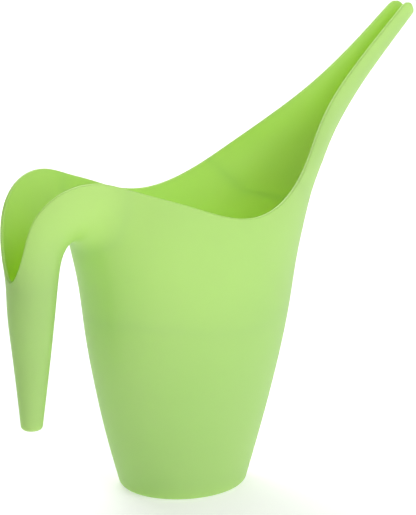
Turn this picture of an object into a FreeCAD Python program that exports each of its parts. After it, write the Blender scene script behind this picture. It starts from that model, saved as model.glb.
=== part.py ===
"""Watering can moulded in one piece: an oval vessel that runs forward into an open spout and back
into an open arched handle, which ends in a free hanging leg.

Millimetres. Origin at the centre of the foot, X towards the spout, Z up, symmetric about Y = 0.
The moulding is cut into named regions that meet face to face.
"""
import FreeCAD, Part
import math
import os

# ---------------------------------------------------------------- driving dimensions
WALL = 2.4                # thickness of the moulded wall
FLOOR = 3.0               # thickness of the vessel floor
FOOT_RECESS = 1.2         # shallow recess under the floor, between standing ring and centre pad
FOOT_RING = 8.0           # width of the standing ring, rounding included
FOOT_PAD = 9.0            # radius of the centre pad
FOOT_RADIUS = 5.0         # rounding where the wall meets the foot
CROTCH_RADIUS = 10.0      # blend between the handle's underside and the vessel
TIP_RADIUS = 3.0          # rounding of the leg's closed end
RIM_RADIUS = 0.9          # rounding of the rim's two edges
LIP_RADIUS = 8.0          # rounding of the spout's two lips, seen from the side
LIP_DEPTH = 16.5          # depth of the channel at the spout's end
SPOUT_TIP = (216.7, 310.6, 41.0)     # x and z of the keel's end, and the pour direction in degrees
SPOUT_ROOT = (101.3, 194.0, 60.0)     # x and z on the plane between vessel and spout, and its facing
HANDLE_ROOT = (-81.2, 185.0, 170.5)  # the same for the plane between vessel and handle
LEG_TOP = 166.0           # z where the arch becomes the leg
MOUTH_BASE = 130.0        # z where the lower wall becomes the mouth
BASE_TOP = 10.0           # z where the base becomes the wall
OVAL_POINTS = 16          # points that define each oval

# Ovals of the vessel and spout, from the foot up. Each starts on the front keel:
# keel x, keel z, tilt above level (degrees), length in its own plane, half width
HORN = (
    (45.2, 0.0, 0.0, 90.4, 41.8),
    (58.8, 38.0, 0.0, 115.4, 48.0),
    (72.1, 78.0, 0.0, 138.4, 53.0),
    (82.8, 118.0, 0.0, 156.5, 57.0),
    (88.8, 148.0, 5.0, 170.5, 59.7),
    (97.3, 177.5, 20.0, 188.5, 61.5),
    (116.9, 213.8, 42.0, 71.2, 33.8),
    (139.2, 237.1, 49.0, 64.4, 19.5),
    (162.3, 261.0, 50.0, 58.0, 12.8),
    (185.8, 283.0, 50.0, 53.0, 10.0),
    (209.8, 304.5, 50.0, 49.0, 8.6),
    (232.3, 325.0, 50.0, 45.0, 7.3),
)

# Ovals of the handle, from the leg's tip over the arch. Each starts on the grip side:
# x, z, direction of its long axis (degrees from +X towards +Z), length, half width
HANDLE = (
    (-121.1, 64.6, 180.0, 14.2, 7.0),
    (-114.0, 118.0, 180.0, 26.2, 12.9),
    (-110.5, 148.0, 179.0, 32.2, 16.0),
    (-108.1, 168.0, 174.0, 35.8, 17.8),
    (-104.1, 182.0, 140.0, 53.4, 21.7),
    (-95.7, 188.0, 104.0, 84.0, 29.5),
    (-82.7, 186.5, 82.0, 96.0, 35.5),
    (-66.7, 182.5, 70.0, 102.0, 37.0),
    (-46.7, 176.0, 62.0, 100.0, 30.0),
)

# Rim in side view, from the notch behind the handle towards the spout: x, z
RIM = (
    (-144.2, 166.1), (-141.7, 188.0), (-134.7, 213.2), (-116.3, 228.6), (-91.7, 230.8), (-72.7, 224.8),
    (-34.7, 211.0), (-12.7, 202.8), (16.3, 198.3), (53.6, 209.0), (93.9, 237.8), (148.5, 278.5),
)
# ----------------------------------------------------------------


def at(x, z, y=0.0):
    """Point from side view coordinates."""
    return FreeCAD.Vector(x, y, z)


def direction(degrees):
    """Unit vector in side view, turned up from +X."""
    return at(math.cos(math.radians(degrees)), math.sin(math.radians(degrees)))


# ---------------------------------------------------------------- smooth solids through ovals
def oval(x, z, angle, length, half_width, inset):
    """Points of an oval that starts at (x, z) and runs along `angle`, its skin moved in by `inset`."""
    along = direction(angle)
    across = FreeCAD.Vector(0, half_width - inset, 0)
    centre = at(x, z) + along * (length / 2)
    turns = [2 * math.pi * k / OVAL_POINTS for k in range(OVAL_POINTS)]
    return [centre - along * ((length / 2 - inset) * math.cos(t)) + across * math.sin(t) for t in turns]


def spacing(ovals):
    """Distance along the solid to each oval, centre to centre."""
    centres = [(points[0] + points[OVAL_POINTS // 2]) * 0.5 for points in ovals]
    distances = [0.0]
    for before, after in zip(centres, centres[1:]):
        distances.append(distances[-1] + before.distanceToPoint(after))
    return distances


def curve(points, params, periodic=False):
    """Smooth curve that passes each point at its own parameter."""
    spline = Part.BSplineCurve()
    spline.interpolate(Points=list(points), Parameters=params, PeriodicFlag=periodic)
    return spline


def skinned(ovals):
    """Solid whose side is one smooth surface through all the ovals, with flat ends."""
    around = [float(k) for k in range(OVAL_POINTS + 1)]
    distances = spacing(ovals)
    rings = [curve(points, around, periodic=True) for points in ovals]
    rows = [curve(column, distances) for column in zip(*[ring.getPoles() for ring in rings])]
    ring = rings[0]
    row = rows[0]
    side = Part.BSplineSurface()
    side.buildFromPolesMultsKnots(
        [row.getPoles() for row in rows], ring.getMultiplicities(), row.getMultiplicities(),
        ring.getKnots(), row.getKnots(), True, False, ring.Degree, row.Degree)
    face = side.toShape()
    ends = [Part.Face(Part.Wire([edge])) for edge in face.Edges if edge.isClosed()]
    shell = Part.makeShell([face] + ends)
    shell.sewShape()
    shell.fix(1e-5, 1e-5, 1e-5)
    return Part.Solid(shell)


def horn(inset):
    """Vessel and spout, with the ovals still closed over the top."""
    return skinned([oval(x, z, 180 - tilt, length, half, inset) for x, z, tilt, length, half in HORN])


def handle(inset):
    """Arch and leg, with the ovals still closed over the top."""
    return skinned([oval(x, z, angle, length, half, inset) for x, z, angle, length, half in HANDLE])


# ---------------------------------------------------------------- cutting tools
def beyond(x, z, degrees):
    """Large block on the far side of a plane across the side view, facing `degrees` up from +X."""
    block = Part.makeBox(600, 600, 600, FreeCAD.Vector(0, -300, -300))
    block.rotate(FreeCAD.Vector(), FreeCAD.Vector(0, 1, 0), -degrees)
    block.translate(at(x, z))
    return block


def over_rim():
    """Everything above the rim and past the spout's end, drawn across the whole width."""
    tip = at(SPOUT_TIP[0], SPOUT_TIP[1], -200)
    pour = direction(SPOUT_TIP[2])
    rise = direction(SPOUT_TIP[2] + 90)
    bend = LIP_RADIUS * math.sqrt(0.5)
    lip_start = tip + rise * LIP_DEPTH - pour * LIP_RADIUS
    lip_middle = tip + rise * (LIP_DEPTH - LIP_RADIUS + bend) - pour * (LIP_RADIUS - bend)
    lip_end = tip + rise * (LIP_DEPTH - LIP_RADIUS)
    below = tip - rise * 60
    notch = at(*RIM[0], -200)
    rim = Part.BSplineCurve()
    rim.interpolate([at(x, z, -200) for x, z in RIM] + [lip_start])
    lip = Part.Arc(lip_start, lip_middle, lip_end)
    outside = [lip_end, below, at(420, below.z, -200), at(420, 420, -200), at(-260, 420, -200),
               at(-260, notch.z, -200), notch]
    outline = Part.Wire([rim.toShape(), lip.toShape()] + Part.makePolygon(outside).Edges)
    return Part.Face(outline).extrude(FreeCAD.Vector(0, 400, 0))


def crotch_edges(solid):
    """Edges where the handle runs into the back of the vessel, below the rim."""
    found = []
    for edge in solid.Edges:
        box = edge.BoundBox
        if -100 < box.XMin and box.XMax < -60 and box.ZMin < 200 < box.ZMax:
            found.append(edge)
    return found


def level_edges(solid, z):
    """Edges that lie flat at height z."""
    return [e for e in solid.Edges if abs(e.BoundBox.ZMin - z) < 0.01 and abs(e.BoundBox.ZMax - z) < 0.01]


# ---------------------------------------------------------------- the moulding
def outside(cutter):
    """Outer form of the moulding, filled solid up to the rim."""
    solid = horn(0).fuse(handle(0)).cut(cutter)
    solid = solid.makeFillet(CROTCH_RADIUS, crotch_edges(solid))
    solid = solid.makeFillet(FOOT_RADIUS, level_edges(solid, 0))
    return solid.makeFillet(TIP_RADIUS, level_edges(solid, HANDLE[0][1]))


def inside(cutter):
    """Hollow of the moulding: vessel, spout channel, handle trough and leg in one."""
    solid = horn(WALL).fuse(handle(WALL)).cut(cutter)
    solid = solid.makeFillet(CROTCH_RADIUS + WALL, crotch_edges(solid))
    ground = Part.makeBox(160, 160, FLOOR + FOOT_RECESS, FreeCAD.Vector(-80, -80, 0))
    plug = Part.makeBox(60, 60, 10 + WALL, FreeCAD.Vector(-165, -30, HANDLE[0][1] - 10))
    return solid.cut(ground).cut(plug)


def recess():
    """Shallow recess under the floor, between the standing ring and the centre pad."""
    _, _, _, length, half = HORN[0]
    outline = Part.Ellipse(FreeCAD.Vector(), length / 2 - FOOT_RING, half - FOOT_RING)
    hollow = Part.Face(Part.Wire([outline.toShape()])).extrude(FreeCAD.Vector(0, 0, FOOT_RECESS))
    return hollow.cut(Part.makeCylinder(FOOT_PAD, FOOT_RECESS))


def rim_edges(shell, cutter):
    """Edges of the shell that lie on the rim, inner and outer."""
    middles = [Part.Vertex(e.valueAt((e.FirstParameter + e.LastParameter) / 2)) for e in shell.Edges]
    return [e for e, middle in zip(shell.Edges, middles) if cutter.distToShape(middle)[0] < 0.001]


def moulding():
    """The whole can as one thin shell with a rounded rim."""
    cutter = over_rim()
    shell = outside(cutter).cut(inside(cutter)).cut(recess())
    return shell.makeFillet(RIM_RADIUS, rim_edges(shell, cutter))


def regions(shell):
    """The shell cut into its named regions."""
    behind = beyond(*HANDLE_ROOT)
    below_leg_top = beyond(0, LEG_TOP, -90)
    past_spout_root = beyond(*SPOUT_ROOT)
    below_mouth = beyond(0, MOUTH_BASE, -90)
    below_base_top = beyond(0, BASE_TOP, -90)
    grip = shell.common(behind)
    vessel = shell.cut(behind)
    bowl = vessel.cut(past_spout_root)
    lower = bowl.common(below_mouth)
    return {
        "vessel_base": lower.common(below_base_top),
        "vessel_wall": lower.cut(below_base_top),
        "vessel_mouth": bowl.cut(below_mouth),
        "spout": vessel.common(past_spout_root),
        "handle_arch": grip.cut(below_leg_top),
        "handle_leg": grip.common(below_leg_top),
    }


if __name__ == "__main__":
    os.makedirs("parts", exist_ok=True)
    for name, shape in regions(moulding()).items():
        if not shape.isValid() or len(shape.Solids) != 1:
            raise ValueError(f"{name} is not one valid solid")
        shape.exportStep(f"parts/{name}.step")
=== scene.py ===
"""Watering can moulded in one piece, in satin light green plastic, on a pale studio floor.

The can's outer skin is one smooth surface: a run of ovals for the vessel and spout and another
for the handle, with a soft blend between them. A structured quad mesh is laid on it, thickened
to a wall with a rounded rim, closed by a floor and a leg end, and cut into named regions.
"""
import bpy
import math
import numpy as np
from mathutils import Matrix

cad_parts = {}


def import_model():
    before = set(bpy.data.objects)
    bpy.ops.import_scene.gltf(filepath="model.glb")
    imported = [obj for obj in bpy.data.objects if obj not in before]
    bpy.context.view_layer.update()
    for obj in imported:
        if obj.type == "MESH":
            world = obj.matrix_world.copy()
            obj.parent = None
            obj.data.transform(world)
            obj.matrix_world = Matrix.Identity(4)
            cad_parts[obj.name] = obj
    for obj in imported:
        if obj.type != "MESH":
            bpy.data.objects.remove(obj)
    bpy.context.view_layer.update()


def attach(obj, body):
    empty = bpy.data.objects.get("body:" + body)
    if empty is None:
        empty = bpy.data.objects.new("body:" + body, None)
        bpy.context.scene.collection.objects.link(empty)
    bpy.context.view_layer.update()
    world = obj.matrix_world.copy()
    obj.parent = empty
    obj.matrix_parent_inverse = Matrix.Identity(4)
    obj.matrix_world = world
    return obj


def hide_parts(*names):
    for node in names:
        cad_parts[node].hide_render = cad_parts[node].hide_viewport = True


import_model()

# ---------------------------------------------------------------- sizes, in millimetres and degrees
MM = 0.001                # metres in a millimetre
WALL = 2.4                # thickness of the moulded wall
FLOOR = 3.0               # thickness of the vessel floor
FLOOR_RADIUS = 4.0        # inside corner between floor and wall
FOOT_RECESS = 1.2         # shallow recess under the floor, between standing ring and centre pad
FOOT_RING = 8.0           # width of the standing ring, rounding included
FOOT_PAD = 9.0            # radius of the centre pad
PAD_APRON = 1.0           # level ground kept round the centre pad
FOOT_RADIUS = 5.0         # rounding where the wall meets the foot
FOOT_LEAN = 17.0          # outward lean of the wall at the foot
LEG_END = 64.6            # height of the leg's closed end
LEG_LEAN = 6.0            # outward lean of the leg at its end
TIP_RADIUS = 3.0          # rounding of the leg's closed end
TIP_CROWN = 0.4           # how far that end bulges
HOLLOW_RADIUS = 1.8       # rounding at the end of the leg's hollow
BLEND = 12.0              # reach of the soft blend between the handle and the vessel
LIP_RADIUS = 8.0          # rounding of the spout's two lips, seen from the side
LIP_DEPTH = 16.5          # depth of the channel at the spout's end
LIP_CORNER = 2.4          # drop from the lip's top to the end of the spout's last section
SPOUT_TIP = (216.7, 310.6, 41.0)     # x and z of the keel's end, and the pour direction
SPOUT_ROOT_TILT = 30.0    # tilt of the oval where the vessel becomes the spout
HANDLE_ROOT_X = -81.2     # grip side x of the oval where the handle meets the vessel
HALF_WIDTH_LIMIT = 80.0   # more than the can's half width anywhere

# Ovals of the vessel and spout: keel x, keel z, tilt above level, length in its plane, half width
HORN = (
    (45.2, 0.0, 0.0, 90.4, 41.8),
    (58.8, 38.0, 0.0, 115.4, 48.0),
    (72.1, 78.0, 0.0, 138.4, 53.0),
    (82.8, 118.0, 0.0, 156.5, 57.0),
    (88.8, 148.0, 5.0, 170.5, 59.7),
    (97.3, 177.5, 20.0, 188.5, 61.5),
    (116.9, 213.8, 42.0, 71.2, 33.8),
    (139.2, 237.1, 49.0, 64.4, 19.5),
    (162.3, 261.0, 50.0, 58.0, 12.8),
    (185.8, 283.0, 50.0, 53.0, 10.0),
    (209.8, 304.5, 50.0, 49.0, 8.6),
    (232.3, 325.0, 50.0, 45.0, 7.3),
)
# Ovals of the handle: grip side x, z, direction of the long axis, length, half width
HANDLE = (
    (-121.1, 64.6, 180.0, 14.2, 7.0),
    (-114.0, 118.0, 180.0, 26.2, 12.9),
    (-110.5, 148.0, 179.0, 32.2, 16.0),
    (-108.1, 168.0, 174.0, 35.8, 17.8),
    (-104.1, 182.0, 140.0, 53.4, 21.7),
    (-95.7, 188.0, 104.0, 84.0, 29.5),
    (-82.7, 186.5, 82.0, 96.0, 35.5),
    (-66.7, 182.5, 70.0, 102.0, 37.0),
    (-46.7, 176.0, 62.0, 100.0, 30.0),
)
# Rim in side view, from the notch behind the handle towards the spout: x, z
RIM = (
    (-144.2, 166.1), (-141.7, 188.0), (-134.7, 213.2), (-116.3, 228.6), (-91.7, 230.8), (-72.7, 224.8),
    (-34.7, 211.0), (-12.7, 202.8), (16.3, 198.3), (53.6, 209.0), (93.9, 237.8), (148.5, 278.5),
)

# Quads of the coarse layout, each of which is cut in four at every refinement
SIDE = 3                  # rows in the band that follows the rim
FRONT = 3                 # columns from the spout's keel to its side
MIDDLE = 12               # columns along the mouth's side
REAR = 3                  # columns from the handle's keel to its side
LOW = 12                  # rows up the vessel below the band
MOUTH_ROW = 8             # row where the mouth region begins
SPOUT = 13                # rows along the spout
ARCH = 12                 # rows along the handle's open arch
ARCH_GRADING = 1.15       # over 1, the rows draw together towards the notch
LEG = 9                   # rows down the closed leg
BAND = 34.0               # drop of the band's middle control point below the rim
LOW_Z = 10.0              # height of the ring where the wall layout ends and the foot begins
LEG_Z = 68.6              # height of the ring where the leg layout ends and its tip begins
REFINE = 2                # refinements
COARSE_ROUNDS = 12        # rounds of evening out the coarse layout
FINE_ROUNDS = 3           # rounds after each refinement
RIM_STEPS = 8             # faces round the lip of the rim
RIM_SQUARE = 0.8          # under 1, the lip of the rim is squarer than round

# Rings that close the foot: heights on the outer and inner wall, and the recess's side as pairs of
# distance across it and share of its depth
OUTER_RINGS = (8.5, 7.0, 5.6)
INNER_RINGS = (9.4, 8.2)
RECESS_SIDE = ((-1.0, 0.0), (-0.5, 0.08), (0.0, 0.5), (0.3, 0.95), (0.8, 1.0))

# Accuracy of the curves
HALVINGS = 22             # halvings in the search for an oval's place
WIDTH_HALVINGS = 30       # halvings in the search for a half width
RIM_SAMPLES = 1500        # points on the rim's side view line
LIP_SAMPLES = 40          # points round the lip
END_SAMPLES = 120         # points down the spout's end cut
END_OVERRUN = 4.0         # how far that cut runs on below the keel
SECTION_SAMPLES = 400     # points on half a cross section
SEARCH_STEPS = 4000       # steps in a search along a tube
LEG_STEPS = 2000          # steps in the search for the notch
LARGEST_MOVE = 8.0        # limit of one move onto the skin
END_MARGIN = 0.01         # closeness at which a point counts as past a tube's end
LEAST_SLOPE = 0.1         # least squared slope that a move onto the skin divides by
TINY = 1e-9               # keeps a division from failing
FAR = 1e3                 # longer than the can

# ---------------------------------------------------------------- looks, in metres, watts and degrees
GREEN_DEEP = (0.585, 0.845, 0.320)
GREEN_LIGHT = (0.615, 0.860, 0.340)
GREEN_THROUGH = (0.76, 0.96, 0.12)
THROUGH = 0.38            # share of the light that passes the surface instead of turning back
ROUGHNESS = 0.37
IOR = 1.48
TONE_SCALE = 14.0         # slow drift between the two greens
TONE_RANGE = (0.3, 0.7)   # noise values that give the deep and the light green
GRAIN_SCALE = 1600.0      # fine texture of the mould
GRAIN_DEPTH = 0.00008
GRAIN_STRENGTH = 0.12

FLOOR_WHITE = 0.7
FLOOR_ROUGHNESS = 0.9
FLOOR_GLOW = 0.46         # light that the floor gives off, so that it stays even
WORLD_LIGHT = 0.12
SWEEP_HALF = 12.0         # half width of the floor, and its reach towards the camera
SWEEP_BACK = 7.0          # distance to the backdrop
SWEEP_BEND = 1.5          # radius of the bend between them
SWEEP_TOP = 9.0           # height of the backdrop
BEND_STEPS = 16

CAMERA_YAW = math.radians(39.641)
CAMERA_PITCH = math.radians(14.258)
CAMERA_PLACE = (-0.9298, -1.1502, 0.5370)
SENSOR_WIDTH = 36.0
LENS = 192.4
CLIP_END = 50.0

CAN_MIDDLE = (0.0, 0.0, 0.16)
BEHIND_CAN = (1.28, 1.54, 0.0)
# Square soft lights: azimuth from the camera's own to its right, elevation, distance, size, power, aim
LIGHTS = {
    "key": (42, 25, 1.8, 1.4, 16.5, CAN_MIDDLE),
    "top": (0, 85, 1.8, 1.4, 4.0, CAN_MIDDLE),
    "back_right": (135, 20, 1.8, 1.2, 3.0, CAN_MIDDLE),
    "back_left": (-150, 45, 2.0, 1.4, 18.0, CAN_MIDDLE),
    "backdrop": (0, 90, 1.8, 1.6, 28.0, BEHIND_CAN),
}


# ---------------------------------------------------------------- curves
class Spline:
    """Natural cubic spline through rows of values."""

    def __init__(self, x, y):
        self.x = np.asarray(x, float)
        self.y = np.asarray(y, float)
        n = len(self.x)
        h = np.diff(self.x)
        system = np.eye(n)
        right = np.zeros_like(self.y)
        for i in range(1, n - 1):
            system[i, i - 1:i + 2] = h[i - 1], 2 * (h[i - 1] + h[i]), h[i]
            right[i] = 6 * ((self.y[i + 1] - self.y[i]) / h[i] - (self.y[i] - self.y[i - 1]) / h[i - 1])
        bend = np.linalg.solve(system, right)
        h = h[:, None]
        slope = (self.y[1:] - self.y[:-1]) / h - h * (2 * bend[:-1] + bend[1:]) / 6
        self.spans = (self.y[:-1], slope, bend[:-1] / 2, (bend[1:] - bend[:-1]) / (6 * h))

    def __call__(self, t):
        t = np.clip(t, self.x[0], self.x[-1])
        i = np.clip(np.searchsorted(self.x, t, side="right") - 1, 0, len(self.x) - 2)
        u = (t - self.x[i])[..., None]
        a, b, c, d = (part[i] for part in self.spans)
        return a + u * (b + u * (c + u * d))


def run_length(points):
    """Distance along a line of points, from its start."""
    return np.concatenate([[0], np.cumsum(np.linalg.norm(np.diff(points, axis=0), axis=1))])


def evenly(points, count):
    """`count` + 1 points at even steps along a line of points."""
    s = run_length(points)
    want = np.linspace(0, s[-1], count + 1)
    return np.stack([np.interp(want, s, column) for column in points.T], 1)


def direction(degrees):
    """Unit vector in side view (x, z)."""
    return np.array([math.cos(math.radians(degrees)), math.sin(math.radians(degrees))])


# ---------------------------------------------------------------- the outer skin
class Tube:
    """A run of ovals, as a surface and as a distance."""

    def __init__(self, ovals):
        ovals = np.array(ovals)
        turn = np.radians(ovals[:, 2])
        centres = ovals[:, :2] + np.stack([np.cos(turn), np.sin(turn)], 1) * ovals[:, 3:4] / 2
        self.t = run_length(centres)
        self.spline = Spline(self.t, ovals)

    def oval(self, t):
        """Start x and z, long axis x and z, half length and half width at t."""
        v = self.spline(t)
        turn = np.radians(v[..., 2])
        return v[..., 0], v[..., 1], np.cos(turn), np.sin(turn), v[..., 3] / 2, v[..., 4]

    def place(self, x, z):
        """Parameter of the oval whose plane holds the side view point."""
        low = np.full(x.shape, self.t[0])
        high = np.full(x.shape, self.t[-1])
        for _ in range(HALVINGS):
            middle = (low + high) / 2
            kx, kz, ax, az, _, _ = self.oval(middle)
            ahead = (x - kx) * az - (z - kz) * ax > 0
            low = np.where(ahead, middle, low)
            high = np.where(ahead, high, middle)
        return (low + high) / 2

    def distance(self, points):
        """Signed distance to the surface, close to true near it; negative inside."""
        x, y, z = points.T
        t = self.place(x, z)
        kx, kz, ax, az, a, b = self.oval(t)
        h = (x - kx) * ax + (z - kz) * az - a
        f = np.sqrt((h / a) ** 2 + (y / b) ** 2) + TINY
        steep = np.sqrt((h / a ** 2) ** 2 + (y / b ** 2) ** 2) / f + TINY
        past_end = np.where(t > self.t[-1] - END_MARGIN, (x - kx) * az - (z - kz) * ax, -FAR)
        return np.maximum((f - 1) / steep, past_end)


horn = Tube([(x, z, 180 - tilt, length, half) for x, z, tilt, length, half in HORN])
handle = Tube(HANDLE)


def skin(points):
    """Signed distance to the can's outer skin: both tubes with a soft blend between them."""
    a = horn.distance(points)
    b = handle.distance(points)
    mix = np.clip(0.5 + 0.5 * (b - a) / BLEND, 0, 1)
    return b * (1 - mix) + a * mix - BLEND * mix * (1 - mix)


def gradient(points, step=0.02):
    """Direction in which the distance to the skin grows."""
    sides = [(skin(points + step * axis) - skin(points - step * axis)) / (2 * step) for axis in np.eye(3)]
    return np.stack(sides, 1)


def onto_skin(points, rounds=2):
    """Points moved onto the outer skin."""
    for _ in range(rounds):
        gap = np.clip(skin(points), -LARGEST_MOVE, LARGEST_MOVE)
        slope = gradient(points)
        steep = np.maximum((slope * slope).sum(1), LEAST_SLOPE)
        points = points - (gap / steep)[:, None] * slope
    return points


# ---------------------------------------------------------------- the rim
def rim_outline():
    """Side view line of the rim: from the notch over the mouth, round the lip, down the end cut."""
    tip = np.array(SPOUT_TIP[:2])
    pour = direction(SPOUT_TIP[2])
    rise = direction(SPOUT_TIP[2] + 90)
    lip_start = tip + rise * LIP_DEPTH - pour * LIP_RADIUS
    knots = np.vstack([RIM, lip_start])
    s = run_length(knots)
    line = Spline(s, knots)(np.linspace(0, s[-1], RIM_SAMPLES))
    centre = lip_start - rise * LIP_RADIUS
    turns = np.radians(np.linspace(90, 0, LIP_SAMPLES))[1:, None]
    lip = centre + LIP_RADIUS * (np.cos(turns) * pour + np.sin(turns) * rise)
    depth = np.linspace(LIP_DEPTH - LIP_RADIUS, -END_OVERRUN, END_SAMPLES)[1:, None]
    outline = np.vstack([line, lip, tip + depth * rise])
    along = np.gradient(outline, axis=0)
    along /= np.linalg.norm(along, axis=1)[:, None]
    inward = np.stack([along[:, 1], -along[:, 0]], 1)
    return outline + inward * WALL / 2, len(line)


OUTLINE, RIM_COUNT = rim_outline()


def reach_of_rim(origin, along, limit):
    """How far a side view ray runs before it meets the rim, or the limit."""
    start = OUTLINE[:-1]
    edge = OUTLINE[1:] - start
    gap = start - origin
    cross = along[0] * edge[:, 1] - along[1] * edge[:, 0]
    cross = np.where(np.abs(cross) < TINY, TINY, cross)
    t = (gap[:, 0] * edge[:, 1] - gap[:, 1] * edge[:, 0]) / cross
    u = (gap[:, 0] * along[1] - gap[:, 1] * along[0]) / cross
    met = (u >= 0) & (u <= 1) & (t > 0.5) & (t <= limit)
    return float(t[met].min()) if met.any() else limit


def onto_outline(points, rounds=8):
    """Points moved to where the skin meets the rim's side view line."""
    for _ in range(rounds):
        points = onto_skin(points, 1)
        flat = points[:, [0, 2]]
        nearest = ((flat[:, None] - OUTLINE[None]) ** 2).sum(2).argmin(1)
        best = np.full(len(points), np.inf)
        spot = flat.copy()
        for i in (nearest - 1, nearest):
            i = np.clip(i, 0, len(OUTLINE) - 2)
            edge = OUTLINE[i + 1] - OUTLINE[i]
            u = np.clip(((flat - OUTLINE[i]) * edge).sum(1) / (edge * edge).sum(1), 0, 1)
            foot = OUTLINE[i] + u[:, None] * edge
            away = ((foot - flat) ** 2).sum(1)
            spot = np.where((away < best)[:, None], foot, spot)
            best = np.minimum(best, away)
        points = np.stack([spot[:, 0], points[:, 1], spot[:, 1]], 1)
    return points


def half_width(flat):
    """Half width of the outer skin at side view points."""
    low = np.zeros(len(flat))
    high = np.full(len(flat), HALF_WIDTH_LIMIT)
    for _ in range(WIDTH_HALVINGS):
        middle = (low + high) / 2
        inside = skin(np.stack([flat[:, 0], middle, flat[:, 1]], 1)) < 0
        low = np.where(inside, middle, low)
        high = np.where(inside, high, middle)
    return low


# ---------------------------------------------------------------- coarse layout
def section(tube, t, count, reach=None):
    """Whole cross section at t, from the near rim through the keel to the far rim."""
    kx, kz, ax, az, a, b = (float(v) for v in tube.oval(np.array(t)))
    if reach is None:
        reach = reach_of_rim(np.array([kx, kz]), np.array([ax, az]), 2 * a)
    top = math.acos(max(1 - reach / a, -1))
    turn = np.linspace(0, top, SECTION_SAMPLES)
    out = a * (1 - np.cos(turn))
    half = evenly(np.stack([kx + ax * out, -b * np.sin(turn), kz + az * out], 1), count)
    return np.vstack([half[::-1], half[1:] * (1, -1, 1)])


def first(tube, test):
    """First parameter at which the oval's values pass a test."""
    t = np.linspace(tube.t[0], tube.t[-1], SEARCH_STEPS + 1)
    return float(t[np.argmax(test(tube.spline(t)))])


def spout_rows():
    """Cross sections from the spout's root to its end cut."""
    root = first(horn, lambda v: v[:, 2] < 180 - SPOUT_ROOT_TILT)
    end = float(horn.place(np.array([SPOUT_TIP[0]]), np.array([SPOUT_TIP[1]]))[0])
    rows = [section(horn, root + (end - root) * j / SPOUT, SIDE + FRONT) for j in range(SPOUT)]
    last = section(horn, end, SIDE + FRONT, LIP_DEPTH - LIP_CORNER - WALL / 2)
    return np.array(rows + [last])


def handle_rows():
    """Cross sections of the closed leg, and of the open arch from the notch to the vessel."""
    low = float(handle.place(np.array([HANDLE[0][0]]), np.array([LEG_Z]))[0])
    root = first(handle, lambda v: v[:, 0] > HANDLE_ROOT_X)
    steps = np.linspace(low, root, LEG_STEPS + 1)
    ovals = handle.spline(steps)
    open_from = next(i for i, v in enumerate(ovals) if reach_of_rim(v[:2], direction(v[2]), v[3]) < v[3])
    notch = float(steps[open_from])
    count = SIDE + REAR
    closed = [section(handle, low + (notch - low) * j / LEG, count, FAR) for j in range(LEG + 1)]
    shares = [(j / ARCH) ** ARCH_GRADING for j in range(1, ARCH + 1)]
    opened = [section(handle, notch + (root - notch) * share, count) for share in shares]
    return np.array(closed), np.array(closed[-1:] + opened)


def band(spout_side, handle_side, side):
    """Rows that follow the mouth's rim on one side, from the spout's root to the handle's."""
    mouth_line = OUTLINE[:RIM_COUNT]
    corners = (handle_side[0], spout_side[0])
    back, front = (((mouth_line - corner[[0, 2]]) ** 2).sum(1).argmin() for corner in corners)
    flat = mouth_line[back:front + 1][::-1]
    rim = evenly(np.stack([flat[:, 0], side * half_width(flat), flat[:, 1]], 1), MIDDLE)
    rim[0] = spout_side[0]
    rim[-1] = handle_side[0]
    q = np.linspace(0, 1, MIDDLE + 1)[:, None]
    rows = []
    for j in range(SIDE + 1):
        at_spout = spout_side[j] - spout_side[0]
        at_handle = handle_side[j] - handle_side[0]
        sag = np.array([0, 0, -BAND * j / SIDE])
        rows.append(rim + (1 - q) ** 2 * at_spout + 2 * q * (1 - q) * sag + q ** 2 * at_handle)
    return np.array(rows)


def low_ring(z, turns):
    """Ring of the vessel's wall at height z."""
    t = horn.place(np.array([HORN[0][0]]), np.array([z]))[0]
    kx, _, _, _, a, b = (float(v) for v in horn.oval(t))
    return np.stack([kx - a * (1 - np.cos(turns)), -b * np.sin(turns), np.full(len(turns), z)], 1)


def wall_rows(spout, arch, near, far):
    """Rows of the closed vessel, from near the foot up to the band, spout root and handle root."""
    front = SIDE + FRONT
    back = SIDE + REAR
    loop = np.vstack([
        spout[0, SIDE:front + 1][::-1][:-1], near[-1][:-1], arch[-1, SIDE:back + 1][:-1],
        arch[-1, back:back + REAR + 1][:-1], far[-1][::-1][:-1],
        spout[0, front:front + FRONT + 1][::-1][:-1]])
    turns = 2 * math.pi * np.arange(len(loop)) / len(loop)
    low = low_ring(LOW_Z, turns)
    rows = [low + (loop - low) * j / LOW for j in range(LOW + 1)]
    return np.array([np.vstack([row, row[:1]]) for row in rows])


class Mesh:
    """Quads over shared points, each with the name of its region."""

    def __init__(self):
        self.points = []
        self.index = {}
        self.quads = []
        self.regions = []

    def vertex(self, point):
        """Number of the shared point at this place."""
        key = tuple(np.round(point, 3) + 0.0)
        if key not in self.index:
            self.index[key] = len(self.points)
            self.points.append(point)
        return self.index[key]

    def grid(self, rows, region, flip=False):
        """Quads over rows of points."""
        ids = [[self.vertex(p) for p in row] for row in rows]
        for low, high in zip(ids, ids[1:]):
            for i in range(len(low) - 1):
                quad = [low[i], low[i + 1], high[i + 1], high[i]]
                self.quads.append(quad[::-1] if flip else quad)
                self.regions.append(region)


REGIONS = ("vessel_base", "vessel_wall", "vessel_mouth", "spout", "handle_arch", "handle_leg")
IN_BASE, IN_WALL, IN_MOUTH, IN_SPOUT, IN_ARCH, IN_LEG = range(len(REGIONS))


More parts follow.
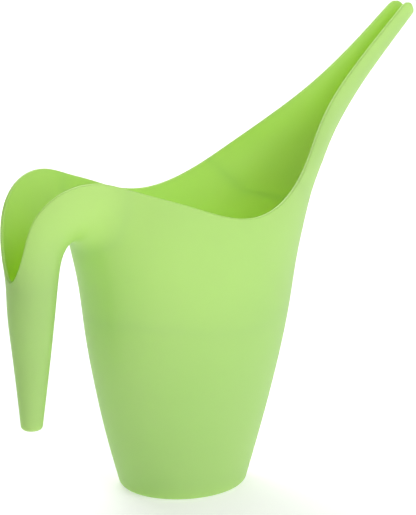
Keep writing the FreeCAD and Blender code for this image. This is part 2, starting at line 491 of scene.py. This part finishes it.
def coarse_layout():
    """The outer skin in large quads: shared points, quads and each quad's region."""
    spout = spout_rows()
    leg, arch = handle_rows()
    near = band(spout[0, :SIDE + 1], arch[-1, :SIDE + 1], -1)
    far = band(spout[0, ::-1][:SIDE + 1], arch[-1, ::-1][:SIDE + 1], 1)
    wall = wall_rows(spout, arch, near, far)
    mesh = Mesh()
    mesh.grid(wall[:MOUTH_ROW + 1], IN_WALL, flip=True)
    mesh.grid(wall[MOUTH_ROW:], IN_MOUTH, flip=True)
    mesh.grid(near, IN_MOUTH)
    mesh.grid(far, IN_MOUTH, flip=True)
    mesh.grid(spout, IN_SPOUT)
    mesh.grid(arch, IN_ARCH)
    mesh.grid(leg, IN_LEG)
    return np.array(mesh.points), np.array(mesh.quads), np.array(mesh.regions)


# ---------------------------------------------------------------- relaxing and refining
def edge_table(quads):
    """Unique edges, and each quad's four edges."""
    pairs = np.stack([quads, np.roll(quads, -1, axis=1)], 2).reshape(-1, 2)
    edges, index = np.unique(np.sort(pairs, 1), axis=0, return_inverse=True)
    return edges, index.reshape(-1, 4)


def relax(points, quads, held, rounds):
    """Even out the spacing of the free points while they stay on the skin."""
    edges, _ = edge_table(quads)
    free = ~held
    for _ in range(rounds):
        total = np.zeros_like(points)
        count = np.zeros(len(points))
        for a, b in ((0, 1), (1, 0)):
            np.add.at(total, edges[:, a], points[edges[:, b]])
            np.add.at(count, edges[:, a], 1)
        points[free] += 0.5 * (total[free] / count[free, None] - points[free])
        points[free] = onto_skin(points[free], 1)
    return points


def refine(points, quads, regions):
    """Each quad in four."""
    edges, quad_edges = edge_table(quads)
    centre = len(points) + len(edges) + np.arange(len(quads))
    middle = len(points) + quad_edges
    corners = [np.stack([quads[:, k], middle[:, k], centre, middle[:, k - 1]], 1) for k in range(4)]
    points = np.vstack([points, points[edges].mean(1), points[quads].mean(1)])
    return points, np.stack(corners, 1).reshape(-1, 4), np.repeat(regions, 4)


def border_loops(quads):
    """Border vertices in order, one array for each loop."""
    pairs = np.stack([quads, np.roll(quads, -1, axis=1)], 2).reshape(-1, 2)
    known = {(a, b) for a, b in pairs.tolist()}
    after = {a: b for a, b in known if (b, a) not in known}
    loops = []
    while after:
        start = min(after)
        loop = [start]
        step = after.pop(start)
        while step != start:
            loop.append(step)
            step = after.pop(step)
        loops.append(np.array(loop))
    return loops


def borders(points, quads):
    """Border loops from the lowest up: the low ring, the leg's ring and the rim."""
    return sorted(border_loops(quads), key=lambda loop: points[loop, 2].mean())


def onto_ring(points, loop, tube, z):
    """A border loop moved onto the level oval of a tube at height z."""
    t = tube.place(np.array([tube.spline.y[0, 0]]), np.array([z]))[0]
    kx, kz, ax, az, a, b = (float(v) for v in tube.oval(t))
    turns = np.arctan2(-points[loop, 1] / b, ((points[loop, 0] - kx) / ax - a) / -a)
    out = a * (1 - np.cos(turns))
    points[loop] = np.stack([kx + ax * out, -b * np.sin(turns), kz + az * out], 1)


def outer_skin():
    """The refined quad mesh on the outer skin, open at the rim, the foot and the leg's end."""
    points, quads, regions = coarse_layout()
    for level in range(REFINE + 1):
        if level:
            points, quads, regions = refine(points, quads, regions)
        low, tip, rim = borders(points, quads)
        onto_ring(points, low, horn, LOW_Z)
        onto_ring(points, tip, handle, LEG_Z)
        points[rim] = onto_outline(points[rim])
        held = np.zeros(len(points), bool)
        held[np.concatenate([low, tip, rim])] = True
        points[~held] = onto_skin(points[~held], 2 if level else 4)
        points = relax(points, quads, held, FINE_ROUNDS if level else COARSE_ROUNDS)
    points[~held] = onto_skin(points[~held])
    return points, quads, regions


# ---------------------------------------------------------------- closing the shell
def oval_disc(ring, lift):
    """Quads that fill a ring of 4 * n vertices; `lift` adds height from the ring to the centre."""
    side = len(ring) // 4
    centre = ring.mean(0)
    closed = np.vstack([ring, ring[:1]])
    s = np.linspace(-1, 1, side + 1)
    u, v = np.meshgrid(s, s, indexing="ij")
    wide = np.abs(u) >= np.abs(v)
    radius = np.where(wide, u, v)
    quarter = np.where(wide, v / np.where(u == 0, 1, u), 2 - u / np.where(v == 0, 1, v))
    part = (quarter + np.where(radius < 0, 4, 0)) / 8 % 1 * len(ring)
    index = np.floor(part).astype(int) % len(ring)
    rim = closed[index] + (part - np.floor(part))[..., None] * (closed[index + 1] - closed[index])
    away = np.abs(radius)[..., None]
    rows = centre + away * (rim - centre)
    rows[..., 2] += lift * (1 - away[..., 0] ** 2)
    return rows


def inset_ring(ring, inset, z):
    """The ring shrunk towards its centre by a distance, at height z."""
    centre = ring.mean(0)
    away = ring - centre
    size = np.linalg.norm(away[:, :2], axis=1)[:, None]
    out = centre + away * (1 - inset / size)
    out[:, 2] = z
    return out


def rounded_end(ring, radius, lean, level, steps=6):
    """Rings from a wall that leans out by `lean` degrees, round a corner, to level."""
    turns = np.radians(np.linspace(lean, 90, steps + 1))
    first_inset = radius * math.cos(turns[0])
    corner = [(first_inset - radius * math.cos(t), level + radius * (1 - math.sin(t))) for t in turns]
    return [inset_ring(ring, inset, z) for inset, z in corner]


def foot_outside(turns):
    """Rings under the vessel: lower wall, rounded corner, standing ring, recess and centre pad."""
    corner = low_ring(FOOT_RADIUS * (1 - math.sin(math.radians(FOOT_LEAN))), turns)
    rings = [low_ring(z, turns) for z in OUTER_RINGS]
    rings += rounded_end(corner, FOOT_RADIUS, FOOT_LEAN, 0)
    foot = low_ring(0.0, turns)
    rings += [inset_ring(foot, FOOT_RING + inset, rise * FOOT_RECESS) for inset, rise in RECESS_SIDE]
    pad = np.stack([FOOT_PAD * np.cos(turns), -FOOT_PAD * np.sin(turns), np.zeros(len(turns))], 1)
    wide = rings[-1]
    for part in (0.25, 0.5, 0.75):
        rings.append(wide + (inset_ring(pad, -PAD_APRON, wide[0, 2]) - wide) * part)
    rings += [inset_ring(pad, -inset, rise * FOOT_RECESS) for inset, rise in RECESS_SIDE[::-1]]
    return rings


def floor_inside(turns):
    """Rings inside the vessel: lower wall and rounded corner, down to the floor."""
    level = FLOOR + FOOT_RECESS
    lean = math.radians(FOOT_LEAN)
    corner_z = level + FLOOR_RADIUS * (1 - math.sin(lean))
    rings = [inset_ring(low_ring(z, turns), WALL / math.cos(lean), z) for z in (*INNER_RINGS, corner_z)]
    return rings + rounded_end(rings.pop(), FLOOR_RADIUS, FOOT_LEAN, level)


def leg_outside(ring):
    """Rings round the leg's lower end."""
    corner_z = LEG_END + TIP_RADIUS * (1 - math.sin(math.radians(LEG_LEAN)))
    shrink = math.tan(math.radians(LEG_LEAN)) * (LEG_Z - corner_z)
    return rounded_end(inset_ring(ring, shrink, corner_z), TIP_RADIUS, LEG_LEAN, LEG_END)


def leg_inside(ring):
    """Rings round the hollow's lower end."""
    return rounded_end(ring, HOLLOW_RADIUS, LEG_LEAN, LEG_END + WALL)[1:]


class Shell:
    """The closed shell: outer skin, inner skin, rounded rim and closed ends."""

    def __init__(self):
        outer, quads, regions = outer_skin()
        normals = gradient(outer)
        normals /= np.linalg.norm(normals, axis=1)[:, None]
        self.points = np.vstack([outer, outer - normals * WALL])
        self.under = len(outer)
        self.faces = quads.tolist() + (quads[:, ::-1] + self.under).tolist()
        self.regions = regions.tolist() * 2
        self.join_regions(quads, regions)
        low, tip, rim = borders(outer, quads)
        self.round_rim(rim, normals, quads, regions)
        self.close_foot(self.turned(low))
        self.close_leg(self.turned(tip))

    def join_regions(self, quads, regions):
        """Cut faces through the wall where two regions meet."""
        self.cuts = []
        edges, quad_edges = edge_table(quads)
        first_quad = np.full(len(edges), -1)
        for q, row in enumerate(quad_edges):
            for k, e in enumerate(row):
                if first_quad[e] < 0:
                    first_quad[e] = q
                elif regions[first_quad[e]] != regions[q]:
                    a, b = int(quads[q][k]), int(quads[q][(k + 1) % 4])
                    cut = [b, a, a + self.under, b + self.under]
                    self.cuts.append((cut, int(regions[q])))
                    self.cuts.append((cut[::-1], int(regions[first_quad[e]])))

    def add(self, ring):
        """New points; returns their numbers."""
        start = len(self.points)
        self.points = np.vstack([self.points, ring])
        return list(range(start, start + len(ring)))

    def strip(self, upper, lower, region, flip=False):
        """Quads between two closed rings of vertex numbers."""
        count = len(upper)
        for i in range(count):
            quad = [upper[i], upper[(i + 1) % count], lower[(i + 1) % count], lower[i]]
            self.faces.append(quad[::-1] if flip else quad)
            self.regions.append(region)

    def disc(self, ring, lift, region, flip=False):
        """Fill a closed ring of vertex numbers with quads."""
        rows = oval_disc(self.points[ring], lift)
        corner = {tuple(np.round(self.points[i], 4) + 0.0): i for i in ring}
        side = rows.shape[0]
        ids = np.zeros((side, side), int)
        for u in range(side):
            for v in range(side):
                key = tuple(np.round(rows[u, v], 4) + 0.0)
                on_ring = u in (0, side - 1) or v in (0, side - 1)
                ids[u, v] = corner[key] if on_ring else self.add(rows[u, v][None])[0]
        for u in range(side - 1):
            for v in range(side - 1):
                quad = [ids[u, v], ids[u + 1, v], ids[u + 1, v + 1], ids[u, v + 1]]
                self.faces.append([int(i) for i in (quad[::-1] if flip else quad)])
                self.regions.append(region)

    def turned(self, loop):
        """A level loop in order from its front point towards -Y."""
        p = self.points[loop]
        centre = p.mean(0)
        turns = np.arctan2(-(p[:, 1]) / np.ptp(p[:, 1]), (p[:, 0] - centre[0]) / np.ptp(p[:, 0]))
        return loop[np.argsort(np.round(turns, 6) % (2 * math.pi))]

    def round_rim(self, loop, normals, quads, regions):
        """A rounded lip from the outer rim to the inner one."""
        p = self.points[loop]
        n = normals[loop]
        along = np.roll(p, -1, axis=0) - np.roll(p, 1, axis=0)
        along /= np.linalg.norm(along, axis=1)[:, None]
        out = np.cross(along, n)
        out /= np.linalg.norm(out, axis=1)[:, None]
        rings = [loop.tolist()]
        for turn in np.radians(np.linspace(0, 180, RIM_STEPS + 1))[1:-1]:
            flat = math.copysign(abs(math.cos(turn)) ** RIM_SQUARE, math.cos(turn))
            high = math.sin(turn) ** RIM_SQUARE
            rings.append(self.add(p + WALL / 2 * (n * (flat - 1) + out * high)))
        rings.append((loop + self.under).tolist())
        owner = {(int(q[k]), int(q[(k + 1) % 4])): int(r) for q, r in zip(quads, regions) for k in range(4)}
        count = len(loop)
        of_edge = [owner[(int(loop[i]), int(loop[(i + 1) % count]))] for i in range(count)]
        for upper, lower in zip(rings, rings[1:]):
            for i in range(count):
                j = (i + 1) % count
                self.faces.append([upper[j], upper[i], lower[i], lower[j]])
                self.regions.append(of_edge[i])
        for i in range(count):
            if of_edge[i] != of_edge[i - 1]:
                profile = [ring[i] for ring in rings]
                self.cuts.append((profile, of_edge[i - 1]))
                self.cuts.append((profile[::-1], of_edge[i]))

    def close_foot(self, loop):
        """Foot, floor and the cut between base and wall."""
        turns = 2 * math.pi * np.arange(len(loop)) / len(loop)
        loop = loop.tolist()
        inner = [i + self.under for i in loop]
        self.cut_ring(loop, inner, IN_BASE, IN_WALL)
        for rings, start, flip in ((foot_outside(turns), loop, False), (floor_inside(turns), inner, True)):
            for ring in rings:
                lower = self.add(ring)
                self.strip(start, lower, IN_BASE, flip)
                start = lower
            self.disc(start, 0.0, IN_BASE, flip)

    def close_leg(self, loop):
        """Outer and inner end of the leg."""
        loop = loop.tolist()
        inner = [i + self.under for i in loop]
        ends = ((leg_outside(self.points[loop]), loop, False), (leg_inside(self.points[inner]), inner, True))
        for rings, start, flip in ends:
            for ring in rings:
                lower = self.add(ring)
                self.strip(start, lower, IN_LEG, flip)
                start = lower
            self.disc(start, 0.0 if flip else -TIP_CROWN, IN_LEG, flip)

    def cut_ring(self, outer, inner, below, above):
        """Level cut through the wall between two regions."""
        count = len(outer)
        for i in range(count):
            j = (i + 1) % count
            cut = [outer[i], outer[j], inner[j], inner[i]]
            self.cuts.append((cut, above))
            self.cuts.append((cut[::-1], below))


# ---------------------------------------------------------------- pieces
def smooth_normals(shell):
    """Normal of each vertex of the whole shell, from its faces weighted by area."""
    total = np.zeros_like(shell.points)
    for face in shell.faces:
        p = shell.points[face]
        total[face] += np.cross(p[2] - p[0], p[3] - p[1])
    return total / np.linalg.norm(total, axis=1)[:, None]


def region_piece(shell, normals, region, material):
    """One named region as a closed mesh whose shading runs on smoothly into its neighbours."""
    skin_faces = [f for f, r in zip(shell.faces, shell.regions) if r == region]
    cut_faces = [f for f, r in shell.cuts if r == region]
    used = sorted({i for f in skin_faces for i in f})
    place = {v: i for i, v in enumerate(used)}
    faces = [[place[i] for i in f] for f in skin_faces + cut_faces]
    mesh = bpy.data.meshes.new(REGIONS[region])
    mesh.from_pydata((shell.points[used] * MM).tolist(), [], faces)
    mesh.polygons.foreach_set("use_smooth", [True] * len(skin_faces) + [False] * len(cut_faces))
    mesh.materials.append(material)
    corners = [normals[i] for f in skin_faces for i in f]
    for face in mesh.polygons[len(skin_faces):]:
        corners += [face.normal] * face.loop_total
    mesh.normals_split_custom_set([tuple(n) for n in corners])
    piece = bpy.data.objects.new("can_" + REGIONS[region], mesh)
    bpy.context.scene.collection.objects.link(piece)
    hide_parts(REGIONS[region])
    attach(piece, "root")
    return piece


# ---------------------------------------------------------------- materials
def node(tree, kind, **values):
    """A shader node with its inputs set by name."""
    made = tree.nodes.new(kind)
    for name, value in values.items():
        made.inputs[name].default_value = value
    return made


def tone_ramp(tree):
    """Colour ramp from the deep green to the light one."""
    ramp = tree.nodes.new("ShaderNodeValToRGB")
    for stop, position, green in zip(ramp.color_ramp.elements, TONE_RANGE, (GREEN_DEEP, GREEN_LIGHT)):
        stop.position = position
        stop.color = (*green, 1)
    return ramp


def moulded_plastic():
    """Satin light green polypropylene that glows where light passes the wall, with a fine mould texture."""
    material = bpy.data.materials.new("green_polypropylene")
    material.use_nodes = True
    tree = material.node_tree
    shader = tree.nodes["Principled BSDF"]
    shader.inputs["IOR"].default_value = IOR
    shader.inputs["Roughness"].default_value = ROUGHNESS
    place = node(tree, "ShaderNodeTexCoord")
    drift = node(tree, "ShaderNodeTexNoise", Scale=TONE_SCALE, Detail=2.0, Roughness=0.5)
    tone = tone_ramp(tree)
    grain = node(tree, "ShaderNodeTexNoise", Scale=GRAIN_SCALE, Detail=3.0, Roughness=0.6)
    bump = node(tree, "ShaderNodeBump", Strength=GRAIN_STRENGTH, Distance=GRAIN_DEPTH)
    through = node(tree, "ShaderNodeBsdfTranslucent", Color=(*GREEN_THROUGH, 1))
    blend = node(tree, "ShaderNodeMixShader", Fac=THROUGH)
    link = tree.links.new
    link(place.outputs["Object"], drift.inputs["Vector"])
    link(place.outputs["Object"], grain.inputs["Vector"])
    link(drift.outputs["Fac"], tone.inputs["Fac"])
    link(tone.outputs["Color"], shader.inputs["Base Color"])
    link(grain.outputs["Fac"], bump.inputs["Height"])
    link(bump.outputs["Normal"], shader.inputs["Normal"])
    link(shader.outputs["BSDF"], blend.inputs[1])
    link(through.outputs["BSDF"], blend.inputs[2])
    link(blend.outputs["Shader"], tree.nodes["Material Output"].inputs["Surface"])
    return material


def studio_material():
    """Matt white that gives off a little light of its own."""
    material = bpy.data.materials.new("studio_white")
    material.use_nodes = True
    shader = material.node_tree.nodes["Principled BSDF"]
    shader.inputs["Base Color"].default_value = (FLOOR_WHITE, FLOOR_WHITE, FLOOR_WHITE, 1)
    shader.inputs["Roughness"].default_value = FLOOR_ROUGHNESS
    shader.inputs["Emission Color"].default_value = (1, 1, 1, 1)
    shader.inputs["Emission Strength"].default_value = FLOOR_GLOW
    return material


# ---------------------------------------------------------------- studio
def sweep():
    """Pale floor that curves up into a backdrop behind the can."""
    level_end = SWEEP_BACK - SWEEP_BEND
    profile = [(-SWEEP_HALF, 0.0), (level_end, 0.0)]
    for turn in np.linspace(0, math.pi / 2, BEND_STEPS + 1)[1:]:
        profile.append((level_end + SWEEP_BEND * math.sin(turn), SWEEP_BEND * (1 - math.cos(turn))))
    profile.append((SWEEP_BACK, SWEEP_TOP))
    points = [(x, y, z) for x in (-SWEEP_HALF, SWEEP_HALF) for y, z in profile]
    n = len(profile)
    mesh = bpy.data.meshes.new("floor")
    mesh.from_pydata(points, [], [(i, i + n, i + n + 1, i + 1) for i in range(n - 1)])
    mesh.polygons.foreach_set("use_smooth", [True] * len(mesh.polygons))
    mesh.materials.append(studio_material())
    floor = bpy.data.objects.new("floor", mesh)
    floor.rotation_euler = (0, 0, -CAMERA_YAW)
    bpy.context.scene.collection.objects.link(floor)


def area_light(name, azimuth, elevation, distance, size, power, aim):
    """Soft square light that faces its aim; azimuth is measured from the camera's own, to its right."""
    turn = CAMERA_YAW + math.pi - math.radians(azimuth)
    rise = math.radians(elevation)
    place = np.array(aim) + distance * np.array([
        math.sin(turn) * math.cos(rise), math.cos(turn) * math.cos(rise), math.sin(rise)])
    data = bpy.data.lights.new(name, "AREA")
    data.size = size
    data.energy = power
    light = bpy.data.objects.new(name, data)
    light.location = place
    gap = np.array(aim) - place
    flat = math.hypot(gap[0], gap[1])
    light.rotation_euler = (math.atan2(flat, -gap[2]), 0, math.atan2(-gap[0], gap[1]))
    bpy.context.scene.collection.objects.link(light)


def camera():
    """Three-quarter view from the handle's side, a little above the rim."""
    data = bpy.data.cameras.new("camera")
    data.sensor_width = SENSOR_WIDTH
    data.sensor_fit = "HORIZONTAL"
    data.lens = LENS
    data.clip_end = CLIP_END
    made = bpy.data.objects.new("camera", data)
    made.location = CAMERA_PLACE
    made.rotation_euler = (math.pi / 2 - CAMERA_PITCH, 0, -CAMERA_YAW)
    bpy.context.scene.collection.objects.link(made)
    bpy.context.scene.camera = made


def world():
    """Even white surroundings."""
    made = bpy.data.worlds.new("studio")
    made.use_nodes = True
    background = made.node_tree.nodes["Background"]
    background.inputs["Color"].default_value = (1, 1, 1, 1)
    background.inputs["Strength"].default_value = WORLD_LIGHT
    bpy.context.scene.world = made


shell = Shell()
normals = smooth_normals(shell)
plastic = moulded_plastic()
for region in range(len(REGIONS)):
    region_piece(shell, normals, region, plastic)
world()
sweep()
for name, settings in LIGHTS.items():
    area_light(name, *settings)
camera()
bpy.context.scene.view_settings.view_transform = "Standard"
